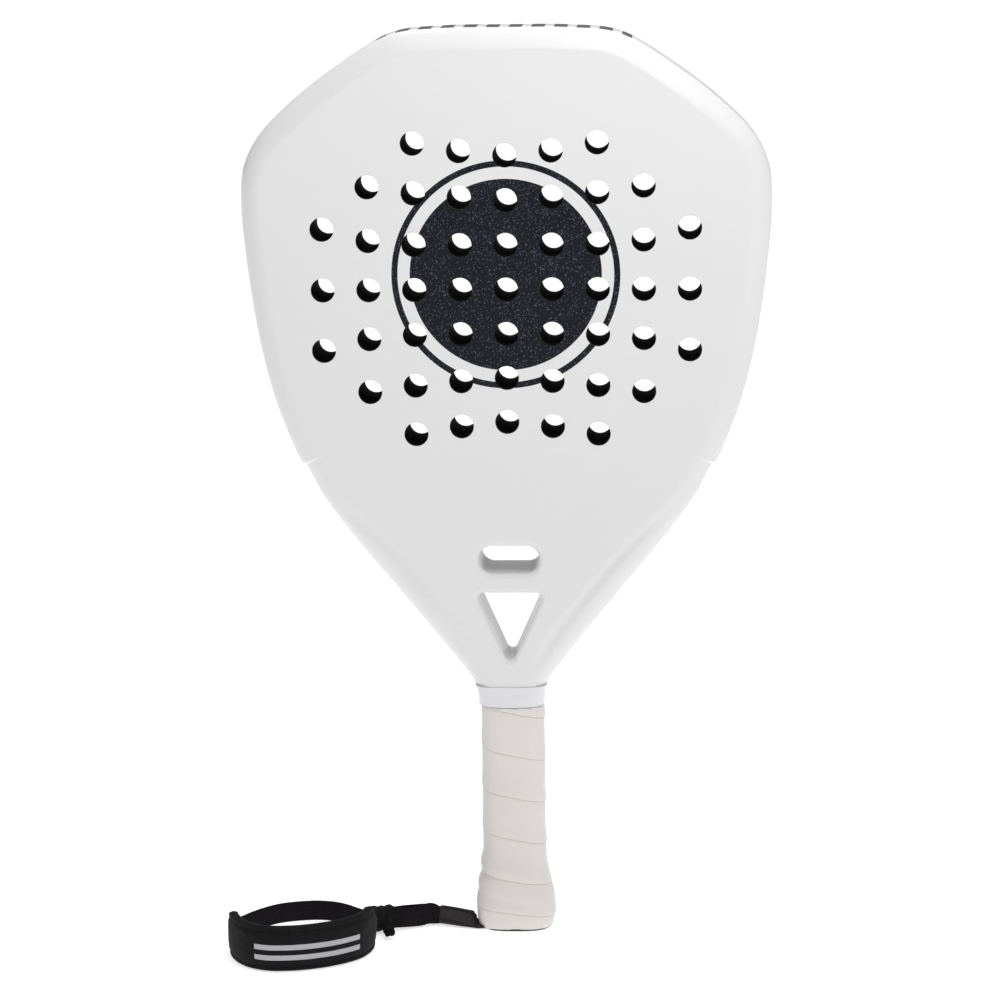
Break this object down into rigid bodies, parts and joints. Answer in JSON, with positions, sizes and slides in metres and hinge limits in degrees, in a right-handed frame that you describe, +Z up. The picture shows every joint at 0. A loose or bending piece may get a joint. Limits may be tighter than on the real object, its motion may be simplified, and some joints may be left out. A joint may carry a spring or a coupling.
{
  "type": "padel racket",
  "caption": "Teardrop padel racket with a drilled solid head, open throat, wound grip and a padded wrist strap lying beside it.",
  "frame": {"origin": "centre of the butt's underside, on the surface the racket stands on", "axes": "+Z up along the handle to the crown, X across the racket, front face looking along -Y"},
  "size_m": [0.2702, 0.1028, 0.4551],
  "materials": {
    "painted_shell": "satin white paint over a fibre laminate",
    "core_foam": "matt closed-cell EVA foam",
    "filler_foam": "matt rigid polyurethane foam",
    "grip": "matt off-white polyurethane tape with fine grain",
    "tape": "satin white finishing tape",
    "cap_plastic": "fine-grained moulded plastic",
    "leatherette": "satin leatherette, folded and stitched",
    "webbing": "flat braided polyester",
    "band_fabric": "matt woven nylon",
    "band_foam": "soft open foam"
  },
  "bodies": {
    "racket": {"frame_tube": "painted_shell", "eva_core": "core_foam", "front_face": "painted_shell", "rear_face": "painted_shell", "throat_bridge": "painted_shell", "handle_core": "filler_foam", "butt_cap": "cap_plastic", "strap_root": "leatherette", "strap_anchor_bar": "cap_plastic", "grip_wrap": "grip", "finishing_tape": "tape"},
    "strap": {"strap_tab": "leatherette", "strap_cord": "webbing", "wristband_cover": "band_fabric", "wristband_pad": "band_foam", "wristband_lining": "band_fabric"},
    "keeper": {"keeper_sleeve": "band_fabric", "keeper_knot": "webbing"}
  },
  "joints": [
    {"name": "strap_swing", "type": "hinge", "parent": "racket", "child": "strap", "pos_m": [-0.0208, -0.0083, 0.0012], "axis": [0, 1, 0], "range_deg": [-90, 40]},
    {"name": "keeper_slide", "type": "slide", "parent": "strap", "child": "keeper", "axis": [0.8899, 0.453, -0.0544], "range_m": [0, 0.011]}
  ]
}
